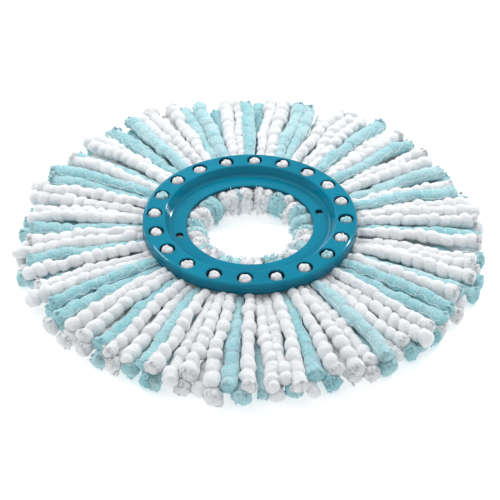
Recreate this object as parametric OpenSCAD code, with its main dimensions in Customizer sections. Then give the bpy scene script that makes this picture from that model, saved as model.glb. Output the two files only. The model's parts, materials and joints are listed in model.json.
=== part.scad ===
// Round replacement head of a spin mop: a moulded ring, a hidden clamp ring
// below it, and a disc of yarn that is folded round the clamp ring.
// Millimetres. +Z is up, the spin axis is Z, and z = 0 is the surface that the
// head lies on. +X runs through one of the two locating holes of the flange.

/* [Moulded ring] */
// Outer radius of the ring at its lip
ring_r = 80.3; // [80:0.1:81]
// Height of the ring's flat top above the surface
ring_top = 30; // [29.5:0.1:31]
// Height of the skirt's bottom edge
skirt_bottom = 21.5; // [21.3:0.1:22.5]
// Wall thickness of the ring
wall = 2.5; // [2:0.1:2.6]
// Radius where the flat top turns down into the plate recess
recess_r = 64.7; // [64:0.1:65]
// Height of the flange that the mop's plate rests on
flange_top = 22.5; // [22.5:0.1:23]
// Radius of the centre bore that takes the mop's plate boss
bore_r = 47.5; // [45:0.5:48]

/* [Holes] */
// Number of drain holes, which is also the number of yarn tufts
hole_count = 20; // [20:20:20]
// Radius of a drain hole
hole_r = 5.7; // [5.2:0.1:5.8]
// Distance of the drain holes from the axis
hole_pitch_r = 71.4; // [71:0.1:71.8]
// Radius of each of the two locating holes
locating_hole_r = 3; // [2:0.1:3.5]
// Distance of the locating holes from the axis
locating_pitch_r = 54; // [53:0.5:55]

/* [Clamp ring] */
// Outer radius of the hidden clamp ring
clamp_r = 74.2; // [74:0.1:74.2]
// Inner radius of the hidden clamp ring
clamp_bore_r = 50; // [49:0.5:51]
// Height of the clamp ring's underside
clamp_bottom = 9.5; // [9.5:0.1:9.8]
// Radius of the pegs that push the yarn up into the drain holes
peg_r = 2.4; // [1.5:0.1:2.6]
// Radius of the posts that are welded to the flange
post_r = 2; // [1.5:0.1:2.5]

/* [Yarn] */
// Inner radius that the folded yarn reaches under the bore
fold_r = 34; // [32:0.5:38]
// Mean distance of the strand tips from the axis
tip_r = 172; // [165:1:175]
// How far the strand tips scatter about that distance
tip_scatter = 5; // [0:0.5:6]
// Radius of an upper strand where the ring pinches it
upper_root_r = 3; // [2.5:0.1:3]
// Radius of an upper strand at its tip
upper_tip_r = 5.4; // [4.5:0.1:5.4]
// Radius of a lower strand where the ring pinches it
lower_root_r = 2.7; // [2.4:0.1:2.7]
// Radius of a lower strand at its tip
lower_tip_r = 4.8; // [4:0.1:4.8]
// Angle between neighbouring strands of one layer
strand_pitch = 4; // [3.9:0.05:4]

/* [Hidden] */
$fn = 96;

teal = [0.08, 0.56, 0.67];
yarn_white = [0.93, 0.94, 0.95];
yarn_aqua = [0.66, 0.85, 0.88];

sector = 360 / hole_count;

// Ring section
shoulder = 2.2;
lip = 0.3;
lip_top = skirt_bottom + 2.5;
ring_wall_r = ring_r - lip;
skirt_inner_r = ring_r - wall;
recess_wall_r = recess_r - 3.4;
recess_fillet = 3;
top_fillet = 1.4;
edge_break = 0.6;
flange_bottom = flange_top - wall;
hole_break = 0.5;

// Clamp ring
clamp_top = clamp_bottom + wall;
peg_top = 25.4;
post_count = 10;
post_pitch_r = 56;

// Folded yarn
gap = 0.2;
fold_angle = sector - 0.8;
fold_top = flange_bottom - gap;
fold_round = fold_top / 2;
fold_outer_r = 74;
fold_lower_r = 67;
channel_top = 25.5;
channel_inner_r = 66.6;
dome_r = 4.5;
dome_top = 31.6;

// Strand rows, from the top row down. The upper layer leaves the ring in two
// rows, one above the other, and the lower layer lies in one row between them.
// Each row has its columns in strand pitches from the tuft's middle, its height
// and distance from the axis at the ring, its height at the tip, and its radii.
rows = [
    [[-1.5, 0.5], 16.4, 79.5, 14.6, upper_root_r, upper_tip_r],
    [[-0.5, 1.5], 11.6, 80.5, 13.6, upper_root_r, upper_tip_r],
    [[-1, 0, 1], 5.5, 81.5, lower_tip_r, lower_root_r, lower_tip_r]
];
golden_angle = 137.5;

function arc(cx, cz, r, from, to, steps) =
    [for (i = [0:steps]) [
        cx + r * cos(from + (to - from) * i / steps),
        cz + r * sin(from + (to - from) * i / steps)
    ]];

function two_digits(n) = str(n < 10 ? "0" : "", n);

// Outline of the moulded ring, from the skirt's inner bottom corner outwards
ring_outline = concat(
    [
        [skirt_inner_r, skirt_bottom],
        [ring_r, skirt_bottom],
        [ring_r, lip_top],
        [ring_wall_r, lip_top + lip]
    ],
    arc(ring_wall_r - shoulder, ring_top - shoulder, shoulder, 0, 90, 6),
    arc(recess_r, ring_top - top_fillet, top_fillet, 90, 155, 4),
    arc(recess_wall_r - recess_fillet, flange_top + recess_fillet, recess_fillet, -25, -90, 4),
    [
        [bore_r + edge_break, flange_top],
        [bore_r, flange_top - edge_break],
        [bore_r, flange_bottom],
        [recess_wall_r + 0.8, flange_bottom],
        [recess_wall_r + wall, flange_bottom + 3],
        [recess_r + 0.9, ring_top - wall],
        [skirt_inner_r, ring_top - wall]
    ]
);

// Outline of one fold: yarn above and below the clamp ring, round at the inside
fold_outline = concat(
    [
        [fold_lower_r, 0],
        [fold_lower_r, clamp_bottom - gap],
        [clamp_bore_r - gap, clamp_bottom - gap],
        [clamp_bore_r - gap, clamp_top + gap],
        [fold_outer_r, clamp_top + gap],
        [fold_outer_r, channel_top],
        [channel_inner_r, channel_top],
        [recess_wall_r + 1.6, fold_top]
    ],
    arc(fold_r + fold_round, fold_round, fold_round, 90, 270, 16)
);

function strand_outline(length, root, tip) = concat(
    [[0, 0], [root, 0]],
    arc(0, length - tip, tip, 0, 90, 6)
);

function tip_distance(tuft, row, column) =
    tip_r + tip_scatter * sin(golden_angle * (7 * tuft + 3 * row + 2 * column));

module upper_ring() {
    color(teal)
    difference() {
        rotate_extrude() polygon(ring_outline);
        for (k = [0:hole_count - 1])
            rotate([0, 0, k * sector])
            translate([hole_pitch_r, 0, 0]) {
                translate([0, 0, ring_top - wall - 1]) cylinder(h = wall + 2, r = hole_r);
                translate([0, 0, ring_top - hole_break])
                    cylinder(h = 2 * hole_break, r1 = hole_r, r2 = hole_r + 2 * hole_break);
            }
        for (side = [-1, 1])
            translate([side * locating_pitch_r, 0, flange_bottom - 1])
            cylinder(h = wall + 2, r = locating_hole_r);
    }
}

module clamp_ring() {
    color(teal)
    union() {
        difference() {
            translate([0, 0, clamp_bottom]) cylinder(h = wall, r = clamp_r);
            translate([0, 0, clamp_bottom - 1]) cylinder(h = wall + 2, r = clamp_bore_r);
        }
        for (k = [0:hole_count - 1])
            rotate([0, 0, k * sector])
            translate([hole_pitch_r, 0, clamp_bottom + 1])
            cylinder(h = peg_top - clamp_bottom - 1, r = peg_r);
        for (k = [0:post_count - 1])
            rotate([0, 0, (2 * k + 0.5) * sector])
            translate([post_pitch_r, 0, clamp_bottom + 1])
            cylinder(h = flange_bottom - clamp_bottom - 1, r = post_r);
    }
}

module dome() {
    translate([hole_pitch_r, 0, channel_top - 1])
    rotate_extrude()
    polygon(concat(
        [[0, 0], [dome_r, 0]],
        arc(0, dome_top - channel_top + 1 - dome_r * 0.6, dome_r, 0, 37, 3),
        [[0, dome_top - channel_top + 1]]
    ));
}

// The yarn of one tuft where it is folded round the clamp ring
module fold(tuft) {
    color(yarn_white)
    rotate([0, 0, (tuft - 1) * sector])
    difference() {
        union() {
            rotate([0, 0, -fold_angle / 2]) rotate_extrude(angle = fold_angle) polygon(fold_outline);
            dome();
        }
        translate([hole_pitch_r, 0, clamp_top])
            cylinder(h = peg_top + gap - clamp_top, r = peg_r + gap);
        for (side = [-1, 1])
            rotate([0, 0, side * sector / 2])
            translate([post_pitch_r, 0, clamp_top])
            cylinder(h = flange_bottom - clamp_top, r = post_r + gap);
        if ((tuft - 1) % (hole_count / 2) == 0)
            translate([locating_pitch_r, 0, clamp_top])
            cylinder(h = flange_bottom - clamp_top, r = locating_hole_r + 1);
    }
}

// One strand, from the ring's edge to its round tip
module strand(tuft, row, column) {
    root_z = rows[row][1];
    root_r = rows[row][2];
    reach = tip_distance(tuft, row, column) - root_r;
    drop = root_z - rows[row][3];
    rotate([0, 0, column * strand_pitch])
    translate([root_r, 0, root_z])
    rotate([0, 90 + atan(drop / reach), 0])
    rotate_extrude($fn = 32)
    polygon(strand_outline(norm([reach, drop]), rows[row][4], rows[row][5]));
}

// The free yarn of one tuft, in two layers of separate strands
module tuft(number) {
    color(number % 3 == 1 ? yarn_aqua : yarn_white)
    rotate([0, 0, (number - 1) * sector])
    for (row = [0:len(rows) - 1])
        for (column = rows[row][0])
            strand(number, row, column);
}

upper_ring();
clamp_ring();
for (k = [1:hole_count]) {
    fold(k);
    tuft(k);
}
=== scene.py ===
"""Looks for the spin mop head: glossy ring, beaded white yarn and thread-wound aqua yarn."""
import json
import math

import bpy
import numpy as np
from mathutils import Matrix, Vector


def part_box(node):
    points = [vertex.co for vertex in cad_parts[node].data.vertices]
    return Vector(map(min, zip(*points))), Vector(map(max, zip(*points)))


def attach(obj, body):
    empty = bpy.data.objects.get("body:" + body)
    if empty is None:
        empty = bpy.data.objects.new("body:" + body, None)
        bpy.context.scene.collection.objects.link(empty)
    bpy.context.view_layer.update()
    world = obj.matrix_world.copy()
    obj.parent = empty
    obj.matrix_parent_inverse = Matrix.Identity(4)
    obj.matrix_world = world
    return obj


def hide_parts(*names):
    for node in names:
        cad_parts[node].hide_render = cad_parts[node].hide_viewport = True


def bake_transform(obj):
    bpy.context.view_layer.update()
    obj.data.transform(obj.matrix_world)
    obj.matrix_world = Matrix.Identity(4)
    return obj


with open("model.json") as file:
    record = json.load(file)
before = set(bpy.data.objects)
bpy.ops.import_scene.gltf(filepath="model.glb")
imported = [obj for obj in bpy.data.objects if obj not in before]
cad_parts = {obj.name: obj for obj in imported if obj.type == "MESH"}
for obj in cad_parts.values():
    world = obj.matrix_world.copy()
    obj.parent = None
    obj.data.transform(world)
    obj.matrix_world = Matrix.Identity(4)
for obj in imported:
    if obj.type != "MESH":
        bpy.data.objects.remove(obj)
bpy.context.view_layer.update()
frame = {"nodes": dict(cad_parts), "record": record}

MM = 0.001
RNG = np.random.default_rng(20)

# Sizes taken from the frame, in metres
RING_LOW, RING_HIGH = (np.array(corner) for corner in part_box("upper_ring"))
FOLD_LOW, FOLD_HIGH = (np.array(corner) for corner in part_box("fold_01"))
RING_R = RING_HIGH[0]
RING_TOP = RING_HIGH[2]
FLANGE_UNDER = RING_LOW[2]
SKIRT_BOTTOM = FLANGE_UNDER + 1.5 * MM
FOLD_INNER = FOLD_LOW[0]
DOME_TOP = FOLD_HIGH[2]
HOLE_PITCH_R = 71.4 * MM
MOUNTS = {mount["name"]: mount for mount in frame["record"]["mounts"]}
BORE_R = MOUNTS["hub_bore"]["dims"]["r_mm"] * MM
MEAN_TIP_R = 171.5 * MM
# The strands reach further out and rise higher on one side of the head
FAR_SIDE = math.radians(74.8)
FAR_REACH = 6.5 * MM
FAR_RISE = 2.5 * MM

# Yarn layout
TUFTS = 20
SECTOR = 2 * math.pi / TUFTS
PER_LAYER = 4
# Colours of each tuft's upper strands, in order round the ring: w is white and a is aqua
UPPER = ["wwaw", "awwa", "wwaw", "wwaa", "wwaw", "waaw", "wwaa", "wwaw", "aaww", "wwaw",
         "waww", "waaw", "waww", "awww", "waww", "wwaw", "wwaw", "wwaa", "waww", "wwaw"]
LOWER = ["awaw", "wawa", "aaww", "waaw"]
FOLDS = "wwaaawwaawwwa"
AQUA_DOMES = (9, 18, 20)

KNOBBED_SHARE = 0.5
THREAD_R = 0.30 * MM
# The yarn lies pressed flat on the floor, this far above it
RESTING = 0.3 * MM
# Loose fibres on each folded loop and in each cut end
LOOP_FIBRES = 340
LOOP_FIBRE_REACH = 4.4 * MM
WHITE_TIP_FIBRES = 40
AQUA_TIP_FIBRES = 30


# ---------------------------------------------------------------- mesh helpers

def lift(radial, tangent, height, angle):
    """World points from distances along the radius, along the tangent and up."""
    c, s = math.cos(angle), math.sin(angle)
    return np.stack([radial * c - tangent * s, radial * s + tangent * c, height], axis=-1)


def soften(values, rounds):
    """Smooths a grid of values along the strand and round it."""
    for _ in range(rounds):
        values = (values + np.roll(values, 1, axis=1) + np.roll(values, -1, axis=1)) / 3
        values[1:-1] = (values[1:-1] + values[2:] + values[:-2]) / 3
    return values


def distances(path):
    """Distance of each point of a path from its start."""
    steps = np.linalg.norm(np.diff(path, axis=0), axis=1)
    return np.concatenate([[0], np.cumsum(steps)])


def along(points, s_points, s):
    return np.stack([np.interp(s, s_points, points[:, k]) for k in range(3)], axis=-1)


def unit(vectors):
    return vectors / (np.linalg.norm(vectors, axis=-1, keepdims=True) + 1e-12)


def frames(centres, side_hint):
    """Unit direction, side and up vectors along a path that turns mostly in one plane."""
    tangent = unit(np.gradient(centres, axis=0))
    side = unit(side_hint - tangent * (tangent @ side_hint)[:, None])
    return tangent, side, np.cross(tangent, side)


class Mesh:
    """Collects closed tubes, with a UV along and around each one, a painted pinch shade value and a tone
    value.
    """

    def __init__(self):
        self.points = []
        self.quads = []
        self.fans = []
        self.uv = []
        self.pinch_shade = []
        self.tone = []
        self.count = 0

    def tube(self, rings, s, pinch_shade, tone):
        """rings is (n, m, 3) and the painted pinch shade is (n, m). Both ends are closed with a fan."""
        n, m, _ = rings.shape
        start = self.count
        grid = start + np.arange(n * m).reshape(n, m)
        after = np.roll(grid, -1, axis=1)
        quads = np.stack([grid[:-1], after[:-1], after[1:], grid[1:]], axis=-1).reshape(-1, 4)
        self.quads.append(quads)
        first, last = start + n * m, start + n * m + 1
        self.fans.append(np.stack([np.full(m, first), after[0], grid[0]], axis=-1))
        self.fans.append(np.stack([np.full(m, last), grid[-1], after[-1]], axis=-1))
        self.points.append(rings.reshape(-1, 3))
        self.points.append(rings[[0, -1]].mean(axis=1))
        around = np.abs(np.linspace(-1, 1, m, endpoint=False))
        u = np.concatenate([np.repeat(s, m), s[[0, -1]]]) / MM
        v = np.concatenate([np.tile(around * 10, n), [0, 0]])
        self.uv.append(np.stack([u, v], axis=-1))
        self.pinch_shade.append(np.concatenate([pinch_shade.ravel(), pinch_shade[[0, -1]].mean(axis=1)]))
        self.tone.append(np.full(n * m + 2, tone))
        self.count += n * m + 2

    def line(self, points, radius, across, tone, sides=5):
        """A thin tube along a line. across is a direction that is never along the line."""
        tangent = unit(np.gradient(points, axis=0))
        a = unit(np.cross(tangent, across))
        b = np.cross(tangent, a)
        turn = np.linspace(0, 2 * np.pi, sides, endpoint=False)
        ring = a[:, None] * np.cos(turn)[None, :, None] + b[:, None] * np.sin(turn)[None, :, None]
        rings = points[:, None] + ring * np.reshape(radius, (-1, 1, 1))
        self.tube(rings, distances(points), np.zeros(rings.shape[:2]), tone)

    def build(self, name, material):
        points = np.concatenate(self.points)
        points[:, 2] = np.maximum(points[:, 2], RESTING)
        quads = np.concatenate(self.quads)
        fans = np.concatenate(self.fans)
        corners = np.concatenate([quads.ravel(), fans.ravel()]).astype(np.int32)
        sizes = np.concatenate([np.full(len(quads), 4), np.full(len(fans), 3)])
        starts = np.concatenate([[0], np.cumsum(sizes)[:-1]]).astype(np.int32)
        mesh = bpy.data.meshes.new(name)
        mesh.vertices.add(len(points))
        mesh.vertices.foreach_set("co", points.astype(np.float32).ravel())
        mesh.loops.add(len(corners))
        mesh.loops.foreach_set("vertex_index", corners)
        mesh.polygons.add(len(sizes))
        mesh.polygons.foreach_set("loop_start", starts)
        mesh.polygons.foreach_set("use_smooth", np.ones(len(sizes), dtype=bool))
        mesh.update(calc_edges=True)
        uv = np.concatenate(self.uv)[corners]
        mesh.uv_layers.new(name="strand").data.foreach_set("uv", uv.astype(np.float32).ravel())
        for label, values in (("pinch_shade", self.pinch_shade), ("tone", self.tone)):
            layer = mesh.attributes.new(label, "FLOAT", "POINT")
            layer.data.foreach_set("value", np.concatenate(values).astype(np.float32))
        mesh.validate()
        mesh.materials.append(material)
        piece = bpy.data.objects.new(name, mesh)
        bpy.context.collection.objects.link(piece)
        return piece


# ---------------------------------------------------------------- yarn strands

# Distance between the rings of points along a strand, and the points in each ring
RING_STEP = 0.95 * MM
SIDES = 18
# How each yarn is pinched by the thread wound round it: the distance between pinches, the
# radius at a pinch, how boxy a bead is, how far the winding slants, the spread of the bead
# sizes, the roughness, and the width over the height
WHITE_WINDING = {"pitch": 9.4 * MM, "waist": 0.60, "power": 2.3, "slant": 0.16,
                 "belly": (0.86, 1.18), "lumps": 0.11, "flat": 1.03}
AQUA_WINDING = {"pitch": 10.8 * MM, "waist": 0.78, "power": 3.2, "slant": 0.08,
                "belly": (0.9, 1.08), "lumps": 0.08, "flat": 1.1}


class Strand:
    """The surface of a strand along a path, as rings of points, with its pinches and the shade painted in
    them.
    """

    def __init__(self, path, radius_of, winding, rng, pitch=None):
        pitch = pitch or winding["pitch"]
        s_path = distances(path)
        length = s_path[-1]
        self.s = np.linspace(0, length, max(8, int(length / RING_STEP)))
        centres = along(path, s_path, self.s)
        middle = path[len(path) // 2]
        side_hint = unit(np.array([-middle[1], middle[0], 0]))
        self.tangent, self.side, self.up = frames(centres, side_hint)

        spacing = rng.uniform(0.78, 1.22, int(round(length / pitch)) + 4) * pitch
        self.edges = np.cumsum(spacing) - rng.uniform(2.0, 2.6) * pitch
        self.around = np.linspace(-np.pi, np.pi, SIDES, endpoint=False)
        phase = rng.uniform(0, 2 * np.pi) + self.s * rng.normal(0, 25)
        self.slant = winding["slant"] * pitch * np.cos(self.around[None] - phase[:, None])
        bead, part = self.beads(self.s[:, None] + self.slant)
        shape = (1 - np.abs(2 * part - 1) ** winding["power"]) ** (1 / winding["power"])
        belly = rng.uniform(*winding["belly"], len(self.edges))[bead]
        # Painted shade: darkest where the wound thread pinches the strand in
        self.pinch_shade = (1 - shape) ** 2
        swell = winding["waist"] + (belly - winding["waist"]) * shape
        press = rng.uniform(-np.pi, np.pi, len(self.edges))[bead]
        swell = swell * (1 + 0.07 * shape * np.cos(2 * (self.around - press)))
        rough = soften(rng.normal(0, 1, (len(self.s), SIDES)), 2) * winding["lumps"]

        bead, part = self.beads(self.s)
        bulge = np.sin(np.pi * part)[:, None]
        centres = centres + self.side * rng.normal(0, 0.55 * MM, len(self.edges))[bead][:, None] * bulge
        centres = centres + self.up * rng.normal(0, 0.4 * MM, len(self.edges))[bead][:, None] * bulge
        self.centres = centres
        self.radius = radius_of(np.hypot(centres[:, 0], centres[:, 1]))
        r = (self.radius[:, None] * swell * (1 + rough))[..., None]
        self.out = (self.side[:, None] * np.sin(self.around)[None, :, None] * winding["flat"]
                    - self.up[:, None] * np.cos(self.around)[None, :, None] / winding["flat"])
        self.rings = centres[:, None] + self.out * r

    def beads(self, s):
        """Which bead each distance along the strand is in, and how far through it."""
        s = np.clip(s, self.edges[0], self.edges[-1] - 1e-9)
        bead = np.clip(np.searchsorted(self.edges, s, side="right") - 1, 0, len(self.edges) - 2)
        part = (s - self.edges[bead]) / (self.edges[bead + 1] - self.edges[bead])
        return bead, np.clip(part, 0, 1)

    def point(self, index, turn):
        """Points on the surface at ring numbers and angles round the strand, both as fractions."""
        column = (turn + np.pi) / (2 * np.pi) * SIDES
        low = np.floor(column).astype(int)
        part = (column - low)[:, None]
        row = np.clip(np.round(index).astype(int), 0, len(self.s) - 1)
        near = self.rings[row, low % SIDES]
        far = self.rings[row, (low + 1) % SIDES]
        outward = unit(self.out[row, low % SIDES] * (1 - part) + self.out[row, (low + 1) % SIDES] * part)
        return near * (1 - part) + far * part, outward

    def extend(self, rings, pinch_shade):
        self.rings = np.concatenate([self.rings, rings])
        self.pinch_shade = np.concatenate([self.pinch_shade, np.full(rings.shape[:2], pinch_shade)])
        self.s = np.concatenate([self.s, self.s[-1] + np.arange(1, len(rings) + 1) * 0.7 * MM])

    def knob_tip(self, rng):
        """Closes the strand with a soft round knob."""
        middle = self.centres[-1]
        last = self.rings[-1] - middle
        reach = self.radius[-1] * rng.uniform(0.7, 1.0)
        turns = np.linspace(0.25, 1, 6) * np.pi / 2
        grow = rng.uniform(1.0, 1.15)
        rings = [middle + self.tangent[-1] * reach * math.sin(turn) + last * grow * max(math.cos(turn), 0.1)
                 for turn in turns]
        self.extend(np.array(rings), 0.0)

    def brush_tip(self, mesh, rng, tone, flare, fibres):
        """Flares the strand's end into a cut brush with loose fibres."""
        count = 8
        grow = 1 + (flare - 1) * np.linspace(0, 1, count) ** 1.6
        middle = self.centres[-count:, None]
        self.rings[-count:] = middle + (self.rings[-count:] - middle) * grow[:, None, None]
        ahead = self.tangent[-1]
        middle = self.centres[-1]
        ragged = rng.uniform(-0.7, 0.7, SIDES) * MM
        self.rings[-1] += ahead * ragged[:, None]
        last = self.rings[-1] - middle
        face = []
        for size, rise in ((0.94, 1.1), (0.76, 2.2), (0.46, 3.0), (0.15, 3.4)):
            uneven = rng.uniform(-0.35, 0.35, SIDES) * MM
            face.append(middle + last * size + ahead * (rise * MM + uneven)[:, None])
        # The cut face gets a little painted shade
        self.extend(np.array(face), 0.1)
        for _ in range(fibres):
            turn = rng.uniform(-np.pi, np.pi)
            out = self.side[-1] * math.sin(turn) - self.up[-1] * math.cos(turn)
            reach = math.sqrt(rng.uniform(0.05, 1)) * self.radius[-1] * flare * 0.9
            direction = unit(ahead + out * rng.uniform(0.0, 0.7) * reach / self.radius[-1])
            base = middle + out * reach - ahead * 1.6 * MM
            length = rng.uniform(2.6, 4.2) * MM
            points = base + direction * (np.array([0, 0.6, 0.88, 1.0]) * length)[:, None]
            thick = rng.uniform(0.5, 0.9) * MM * np.array([1.0, 1.0, 0.85, 0.45])
            mesh.line(points, thick, self.side[-1] + 0.3 * self.up[-1], tone, sides=5)

    def hairs(self, mesh, count, reach, rng, tone):
        """Short loose fibres that stand off the strand's surface, but not through the flange."""
        index = rng.uniform(2, len(self.s) - 3, count)
        turn = rng.uniform(-np.pi, np.pi, count)
        bases, outward = self.point(index, turn)
        for base, out in zip(bases, outward):
            direction = unit(out + rng.normal(0, 0.45, 3))
            length = rng.uniform(0.5, 1.0) * reach
            points = base - out * 0.6 * MM + direction * (np.array([0, 0.6, 1.0]) * length)[:, None]
            reach_r = np.hypot(points[:, 0], points[:, 1]).max()
            if reach_r > BORE_R - 1.5 * MM and points[:, 2].max() > FLANGE_UNDER - 0.5 * MM:
                continue
            thick = rng.uniform(0.25, 0.5) * MM * np.array([1.0, 0.75, 0.2])
            mesh.line(points, thick, np.cross(direction, [0.3, 0.5, 0.81]), tone, sides=4)

    def thread_net(self, mesh, radius, rng, tone):
        """The white thread wound round the strand: a loop at each pinch and runs along its sides."""
        rings = len(self.s)
        step = self.s[-1] / (rings - 1)
        turn = np.linspace(-np.pi, np.pi, SIDES + 1)
        for edge in self.edges:
            middle = edge / step
            if not 1 < middle < rings - 2:
                continue
            row = min(int(middle), rings - 2)
            slant = np.append(self.slant[row], self.slant[row, 0]) / step
            points, outward = self.point(middle - slant, turn)
            mesh.line(points + outward * radius * 0.4, radius * 0.85, self.tangent[row], tone)
        for base_turn in (-1.95, 1.95):
            index = np.arange(0, rings - 1, 1.0)
            wander = soften(rng.normal(0, 1, (rings - 1, 1)), 8)[:, 0] * 0.5
            swing = 0.14 * np.sin(index * step / (11 * MM) * 2 * np.pi + rng.uniform(0, 6))
            points, outward = self.point(index, base_turn + wander + swing)
            thick = radius * (1.15 + 0.35 * soften(rng.normal(0, 1, (rings - 1, 1)), 2)[:, 0])
            mesh.line(points + outward * radius * 0.4, thick, self.up.mean(axis=0) + 0.01, tone)


def upper_radius(r):
    return np.interp(r / MM, [70, 79, 86, 98, 118, 150, 190], [2.9, 3.45, 3.9, 4.3, 4.8, 5.3, 5.6]) * MM


def lower_radius(r):
    return np.interp(r / MM, [70, 84, 120, 190], [3.0, 3.6, 4.9, 6.3]) * MM


def free_strand(meshes, colour, path, radius_of, rng):
    """One strand of a tuft, with a knobbed or a frayed end."""
    tone = rng.uniform(0, 1)
    if colour == "w":
        strand = Strand(path, radius_of, WHITE_WINDING, rng)
        if rng.uniform() < KNOBBED_SHARE:
            strand.knob_tip(rng)
        else:
            strand.brush_tip(meshes["w"], rng, tone, rng.uniform(1.02, 1.22), WHITE_TIP_FIBRES)
    else:
        strand = Strand(path, radius_of, AQUA_WINDING, rng)
        strand.thread_net(meshes["t"], THREAD_R, rng, tone)
        strand.brush_tip(meshes["a"], rng, tone, rng.uniform(1.0, 1.15), AQUA_TIP_FIBRES)
    meshes[colour].tube(strand.rings, strand.s, strand.pinch_shade, tone)


# ---------------------------------------------------------------- materials

def nodes_of(name):
    material = bpy.data.materials.new(name)
    material.use_nodes = True
    tree = material.node_tree
    shader = tree.nodes["Principled BSDF"]
    return material, tree, shader


def node(tree, kind, inputs=None, **settings):
    made = tree.nodes.new(kind)
    for key, value in settings.items():
        setattr(made, key, value)
    for key, value in (inputs or {}).items():
        if isinstance(value, bpy.types.NodeSocket):
            tree.links.new(value, made.inputs[key])
        else:
            made.inputs[key].default_value = value
    return made


def ramp(tree, factor, stops):
    made = node(tree, "ShaderNodeValToRGB", {"Fac": factor})
    elements = made.color_ramp.elements
    elements[0].position, elements[0].color = stops[0][0], (*stops[0][1], 1)
    elements[1].position, elements[1].color = stops[-1][0], (*stops[-1][1], 1)
    for position, colour in stops[1:-1]:
        elements.new(position).color = (*colour, 1)
    return made.outputs["Color"]


def mix(tree, factor, a, b, blend="MIX"):
    made = node(tree, "ShaderNodeMix", data_type="RGBA", blend_type=blend)
    for socket, value in zip((made.inputs[0], made.inputs[6], made.inputs[7]), (factor, a, b)):
        if isinstance(value, bpy.types.NodeSocket):
            tree.links.new(value, socket)
        elif socket.type == "RGBA":
            socket.default_value = (*value, 1)
        else:
            socket.default_value = value
    return made.outputs[2]


def maths(tree, operation, a, b=0.0):
    made = node(tree, "ShaderNodeMath", operation=operation)
    for socket, value in zip(made.inputs, (a, b)):
        if isinstance(value, bpy.types.NodeSocket):
            tree.links.new(value, socket)
        else:
            socket.default_value = value
    return made.outputs[0]


def yarn_material(name, deep, body, light, sheen, contrast):
    """Velvety yarn: soft nap with fibres across the strand, painted shade in the pinches, changes of tone.
    """
    material, tree, shader = nodes_of(name)
    uv = node(tree, "ShaderNodeUVMap", uv_map="strand").outputs["UV"]
    across = node(tree, "ShaderNodeMapping", {"Vector": uv, "Scale": (1.3, 0.35, 1)}).outputs[0]
    fibres = node(tree, "ShaderNodeTexNoise", {"Vector": across, "Scale": 1.0, "Detail": 3.0})
    place = node(tree, "ShaderNodeTexCoord").outputs["Object"]
    nap = node(tree, "ShaderNodeTexNoise",
               {"Vector": place, "Scale": 420.0, "Detail": 4.0, "Roughness": 0.7})
    curls = node(tree, "ShaderNodeTexVoronoi", {"Vector": place, "Scale": 520.0, "Randomness": 1.0},
                 feature="SMOOTH_F1")
    patches = node(tree, "ShaderNodeTexNoise", {"Vector": place, "Scale": 70.0, "Detail": 2.0})
    pinch_shade = node(tree, "ShaderNodeAttribute", attribute_name="pinch_shade").outputs["Fac"]
    tone = node(tree, "ShaderNodeAttribute", attribute_name="tone").outputs["Fac"]
    streak = maths(tree, "MULTIPLY", fibres.outputs["Fac"], 0.45)
    streak = maths(tree, "ADD", streak, maths(tree, "MULTIPLY", nap.outputs["Fac"], 0.45))
    streak = maths(tree, "ADD", streak, maths(tree, "MULTIPLY", patches.outputs["Fac"], 0.25))
    streak = maths(tree, "ADD", streak, maths(tree, "MULTIPLY", tone, 0.14))
    spread = 0.22 * contrast
    base = ramp(tree, streak, [(0.64 - spread, deep), (0.64, body), (0.64 + spread, light)])
    # Painted shade: the colour darkens towards deep in the pinches, the dome creases and the cut ends
    base = mix(tree, maths(tree, "MULTIPLY", pinch_shade, 0.5), base, deep)
    tree.links.new(base, shader.inputs["Base Color"])
    height = maths(tree, "ADD", maths(tree, "MULTIPLY", fibres.outputs["Fac"], 0.5),
                   maths(tree, "MULTIPLY", nap.outputs["Fac"], 1.0))
    height = maths(tree, "SUBTRACT", height, maths(tree, "MULTIPLY", curls.outputs["Distance"], 0.5))
    bump = node(tree, "ShaderNodeBump", {"Height": height, "Strength": 0.7, "Distance": 0.0013})
    tree.links.new(bump.outputs["Normal"], shader.inputs["Normal"])
    shader.inputs["Roughness"].default_value = 0.92
    shader.inputs["Specular IOR Level"].default_value = 0.15
    shader.inputs["Sheen Weight"].default_value = sheen
    shader.inputs["Sheen Roughness"].default_value = 0.45
    shader.inputs["Subsurface Weight"].default_value = 0.5
    shader.inputs["Subsurface Radius"].default_value = (1, 1, 1)
    shader.inputs["Subsurface Scale"].default_value = 0.0035
    return material


def thread_material():
    material, tree, shader = nodes_of("white_thread")
    place = node(tree, "ShaderNodeTexCoord").outputs["Object"]
    twist = node(tree, "ShaderNodeTexNoise", {"Vector": place, "Scale": 1400.0, "Detail": 2.0})
    base = ramp(tree, twist.outputs["Fac"], [(0.35, (0.55, 0.76, 0.80)), (0.65, (0.90, 0.94, 0.95))])
    tree.links.new(base, shader.inputs["Base Color"])
    bump = node(tree, "ShaderNodeBump",
                {"Height": twist.outputs["Fac"], "Strength": 0.3, "Distance": 0.0002})
    tree.links.new(bump.outputs["Normal"], shader.inputs["Normal"])
    shader.inputs["Roughness"].default_value = 0.6
    shader.inputs["Sheen Weight"].default_value = 0.2
    return material


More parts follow.
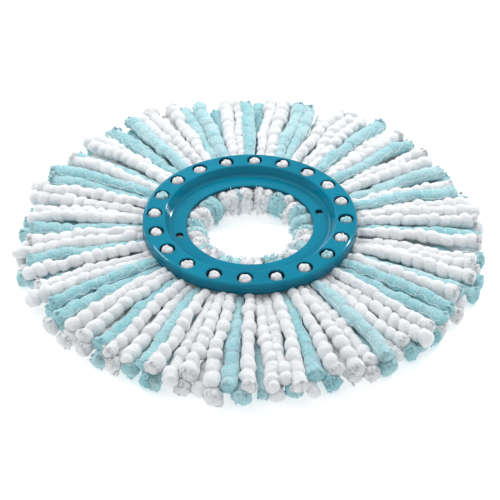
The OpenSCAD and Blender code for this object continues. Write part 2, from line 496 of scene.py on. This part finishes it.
def plastic_material():
    """Glossy moulded plastic, with faint flow marks, a fine mould texture and painted shade in its creases.
    """
    material, tree, shader = nodes_of("teal_plastic")
    place = node(tree, "ShaderNodeTexCoord").outputs["Object"]
    flow = node(tree, "ShaderNodeTexNoise",
                {"Vector": place, "Scale": 28.0, "Detail": 3.0, "Distortion": 0.6})
    base = ramp(tree, flow.outputs["Fac"], [(0.35, (0.001, 0.20, 0.305)), (0.65, (0.002, 0.235, 0.355))])
    # Painted shade: the colour darkens to a deep teal in creases, recesses and hole walls, found by ambient
    # occlusion
    shaded_crease = node(tree, "ShaderNodeAmbientOcclusion", {"Distance": 0.012}, samples=6).outputs["AO"]
    shaded_crease = node(tree, "ShaderNodeMapRange", {"Value": shaded_crease, "From Min": 0.35, "From Max": 0.95})
    shaded_crease = shaded_crease.outputs[0]
    base = mix(tree, shaded_crease, (0.0005, 0.055, 0.10), base)
    tree.links.new(base, shader.inputs["Base Color"])
    grain = node(tree, "ShaderNodeTexNoise", {"Vector": place, "Scale": 450.0, "Detail": 3.0})
    rough = node(tree, "ShaderNodeMapRange",
                 {"Value": flow.outputs["Fac"], "To Min": 0.10, "To Max": 0.17})
    tree.links.new(rough.outputs[0], shader.inputs["Roughness"])
    bump = node(tree, "ShaderNodeBump",
                {"Height": grain.outputs["Fac"], "Strength": 0.10, "Distance": 0.0003})
    tree.links.new(bump.outputs["Normal"], shader.inputs["Normal"])
    shader.inputs["Specular IOR Level"].default_value = 0.1
    shader.inputs["Coat Weight"].default_value = 0.2
    shader.inputs["Coat Roughness"].default_value = 0.04
    return material


WHITE = yarn_material("white_yarn", (0.80, 0.825, 0.835), (0.865, 0.865, 0.875), (0.90, 0.89, 0.895),
                      sheen=0.3, contrast=1.0)
AQUA = yarn_material("aqua_yarn", (0.23, 0.56, 0.61), (0.40, 0.67, 0.71), (0.58, 0.77, 0.80),
                     sheen=0.25, contrast=0.8)
THREAD = thread_material()
PLASTIC = plastic_material()


# ---------------------------------------------------------------- the head

def strand_angle(tuft, place):
    """Angle of a strand: place counts across the tuft from 0 to PER_LAYER - 1."""
    return (tuft - 1) * SECTOR + (place - (PER_LAYER - 1) / 2) / PER_LAYER * SECTOR


def tip_radius(angle, extra, rng):
    """How far out a strand reaches: further on the head's far side, with some scatter."""
    scatter = np.clip(rng.normal(0, 3.2), -5, 6) * MM
    return MEAN_TIP_R + extra + scatter + FAR_REACH * math.cos(angle - FAR_SIDE)


def strand_path(angle, tip, z_root, z_tip, hump, rng):
    """Centre line of a free strand, from inside the ring to its tip."""
    start = 73 * MM
    r = np.linspace(start, tip, 60)
    t = (r - start) / (tip - start)
    free = np.clip((r - RING_R) / (tip - RING_R), 0, 1)
    z = z_root + (z_tip - z_root) * t ** 1.2 + hump * np.sin(np.pi * t ** 0.65)
    z = z + rng.uniform(0.2, 0.9) * MM * free * np.sin(r / (9 * MM) + rng.uniform(0, 6))
    lean = rng.normal(0, 2.6) * MM
    sway = rng.uniform(0.5, 1.8) * MM
    wave = rng.uniform(40, 80) * MM
    w = lean * free ** 1.3 + sway * free ** 0.7 * np.sin(2 * np.pi * r / wave + rng.uniform(0, 6))
    return lift(r, w, z, angle)


def make_tuft(tuft):
    """The free strands of one tuft, in an upper and a lower layer."""
    label = f"tuft_{tuft:02d}"
    meshes = {"w": Mesh(), "a": Mesh(), "t": Mesh()}
    lower = LOWER[tuft % len(LOWER)]
    for place in range(PER_LAYER):
        raised = (place + tuft) % 2
        angle = strand_angle(tuft, place) + RNG.normal(0, 0.004)
        tip = tip_radius(angle, -4 * MM, RNG)
        z_root = SKIRT_BOTTOM - (3.6 + 2.6 * (1 - raised)) * MM
        z_tip = (12.4 + 1.6 * raised + RNG.normal(0, 0.8)) * MM
        z_tip += FAR_RISE * max(0, math.cos(angle - FAR_SIDE))
        path = strand_path(angle, tip, z_root, z_tip, (1.6 + raised) * MM, RNG)
        free_strand(meshes, UPPER[tuft - 1][place], path, upper_radius, RNG)
    for place in range(PER_LAYER):
        angle = strand_angle(tuft, place + 0.5) + RNG.normal(0, 0.008)
        tip = tip_radius(angle, 0, RNG)
        path = strand_path(angle, tip, 10 * MM, 5.8 * MM, 0.8 * MM, RNG)
        free_strand(meshes, lower[place], path, lower_radius, RNG)
    pieces = [
        (meshes["w"].build(f"{label}_white_yarn", WHITE), "yarn_white"),
        (meshes["a"].build(f"{label}_aqua_yarn", AQUA), "yarn_aqua"),
        (meshes["t"].build(f"{label}_thread", THREAD), "yarn_white"),
    ]
    for piece, slot in pieces:
        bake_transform(piece)
    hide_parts(label)


def loop_path(angle, inner, top, low, rng):
    """A strand folded round the clamp ring: over it, bulging inside it and back below it."""
    outer = 66 * MM
    corners = np.array([
        (outer, top), (51 * MM, top), (inner + 6 * MM, top + 2.6 * MM), (inner, top + 0.5 * MM),
        (inner + MM, top - 7 * MM), (inner + 5 * MM, low), (inner + 9 * MM, low), (outer, low),
    ])
    s = distances(corners)
    dense = np.linspace(0, s[-1], 90)
    r = np.interp(dense, s, corners[:, 0])
    z = np.interp(dense, s, corners[:, 1])
    for _ in range(8):
        r[1:-1] = (r[:-2] + r[1:-1] + r[2:]) / 3
        z[1:-1] = (z[:-2] + z[1:-1] + z[2:]) / 3
    w = rng.normal(0, 2.4 * MM) * np.sin(np.linspace(0, np.pi, len(r)))
    return lift(r, w, z, angle)


def make_dome(meshes, tuft, rng):
    """The lumpy ball of yarn that a peg pushes up into a drain hole."""
    size = rng.uniform(4.2, 5.0) * MM
    top = DOME_TOP + rng.uniform(-0.9, 0.5) * MM
    polar = np.linspace(0.06, 0.80, 16) * np.pi
    around = np.linspace(-np.pi, np.pi, 2 * SIDES, endpoint=False)
    x = np.sin(polar)[:, None] * np.cos(around)
    y = np.sin(polar)[:, None] * np.sin(around)
    grow = 1 + soften(rng.normal(0, 1, x.shape), 3) * 0.3
    turn = rng.uniform(0, np.pi)
    shaded_crease = np.zeros(x.shape)
    for offset in (rng.uniform(-0.5, -0.2), rng.uniform(0.2, 0.5)):
        far = x * math.cos(turn) + y * math.sin(turn) - offset
        shaded_crease = np.maximum(shaded_crease, np.exp(-(far / 0.13) ** 2))
    grow = grow - 0.16 * shaded_crease
    z = top - 0.85 * size * (1 - np.cos(polar)[:, None] * grow)
    radial = HOLE_PITCH_R + size * x * grow
    rings = lift(radial, size * y * grow, z, (tuft - 1) * SECTOR)
    colour = "a" if tuft in AQUA_DOMES else "w"
    s = np.linspace(0, 12 * MM, len(polar))
    # The creases are dented into the ball and get painted shade
    meshes[colour].tube(rings[::-1], s, shaded_crease[::-1] * 0.6, rng.uniform(0, 1))


def make_fold(tuft):
    """The yarn of one tuft inside the ring: its folded loops and its dome in the drain hole."""
    label = f"fold_{tuft:02d}"
    meshes = {"w": Mesh(), "a": Mesh(), "t": Mesh()}
    for place in range(2):
        angle = (tuft - 1) * SECTOR + (place - 0.5) / 2 * SECTOR + RNG.normal(0, 0.03)
        thick = RNG.uniform(3.9, 5.8) * MM
        inner = FOLD_INNER + RNG.uniform(2.2, 6.5) * MM
        path = loop_path(angle, inner, FLANGE_UNDER - thick - 0.3 * MM, thick, RNG)
        tone = RNG.uniform(0, 1)
        colour = FOLDS[(tuft * 2 + place) % len(FOLDS)]
        winding = WHITE_WINDING if colour == "w" else AQUA_WINDING
        strand = Strand(path, lambda r: thick * np.interp(r, [0.04, 0.06], [1.0, 0.85]), winding, RNG)
        if colour == "a":
            strand.thread_net(meshes["t"], THREAD_R, RNG, tone)
        strand.hairs(meshes[colour], LOOP_FIBRES, LOOP_FIBRE_REACH, RNG, tone)
        meshes[colour].tube(strand.rings, strand.s, strand.pinch_shade, tone)
    make_dome(meshes, tuft, RNG)
    made = [
        ("w", "white_yarn", WHITE, "yarn_white"),
        ("a", "aqua_yarn", AQUA, "yarn_aqua"),
        ("t", "thread", THREAD, "yarn_white"),
    ]
    for colour, kind, material, slot in made:
        if meshes[colour].count:
            piece = meshes[colour].build(f"{label}_{kind}", material)
            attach(piece, "head")
            if kind == "white_yarn":
                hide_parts(label)


for number in range(1, TUFTS + 1):
    make_tuft(number)
    make_fold(number)

for name in ("upper_ring", "clamp_ring"):
    for holder in frame["nodes"][name].material_slots:
        holder.material = PLASTIC


# ---------------------------------------------------------------- camera, light and floor

VIEW_TURN = math.radians(-15.16)
ELEVATION = math.radians(39.12)
DISTANCE = 0.998
LENS = 99.6
AIM_NEAR = 40.9 * MM
ahead = Vector((-math.sin(VIEW_TURN), math.cos(VIEW_TURN), 0))
across = Vector((math.cos(VIEW_TURN), math.sin(VIEW_TURN), 0))
target = Vector((0, 0, RING_TOP)) - ahead * AIM_NEAR
gaze = ahead * math.cos(ELEVATION) - Vector((0, 0, math.sin(ELEVATION)))
camera = bpy.data.objects.new("camera", bpy.data.cameras.new("camera"))
camera.data.lens = LENS
camera.location = target - gaze * DISTANCE
camera.rotation_euler = gaze.to_track_quat("-Z", "Y").to_euler()
bpy.context.collection.objects.link(camera)
bpy.context.scene.camera = camera


def area_light(name, offset, size, power):
    """A square softbox that faces the head. offset is across, ahead and up, in metres."""
    light = bpy.data.lights.new(name, "AREA")
    light.size = size
    light.energy = power
    lamp = bpy.data.objects.new(name, light)
    lamp.location = across * offset[0] + ahead * offset[1] + Vector((0, 0, offset[2]))
    lamp.rotation_euler = lamp.location.to_track_quat("Z", "Y").to_euler()
    bpy.context.collection.objects.link(lamp)


LIGHTS = [
    ("overhead", (-0.2, 0.1, 1.6), 2.0, 7),
    ("backdrop", (-0.5, 1.6, 0.65), 0.8, 4),
    ("key", (-0.72, 0.55, 0.95), 0.25, 5),
    ("fill", (0.75, 0.75, 0.9), 0.14, 5),
    ("glint", (0.9, 0.9, 0.4), 0.12, 3),
]
for light_row in LIGHTS:
    area_light(*light_row)

world = bpy.data.worlds.new("studio")
world.use_nodes = True
world.node_tree.nodes["Background"].inputs["Color"].default_value = (0.93, 0.97, 1.0, 1)
world.node_tree.nodes["Background"].inputs["Strength"].default_value = 0.56
bpy.context.scene.world = world
bpy.context.scene.view_settings.view_transform = "Standard"

floor_material, floor_tree, floor_shader = nodes_of("pale_floor")
floor_shader.inputs["Base Color"].default_value = (0.75, 0.75, 0.75, 1)
floor_shader.inputs["Roughness"].default_value = 0.9
floor_shader.inputs["Specular IOR Level"].default_value = 0.1
floor_shader.inputs["Emission Color"].default_value = (1, 1, 1, 1)
floor_shader.inputs["Emission Strength"].default_value = 0.48
bpy.ops.mesh.primitive_plane_add(size=12, location=(0, 0, 0))
floor = bpy.context.object
floor.name = "floor"
floor.data.materials.append(floor_material)

bpy.context.view_layer.update()
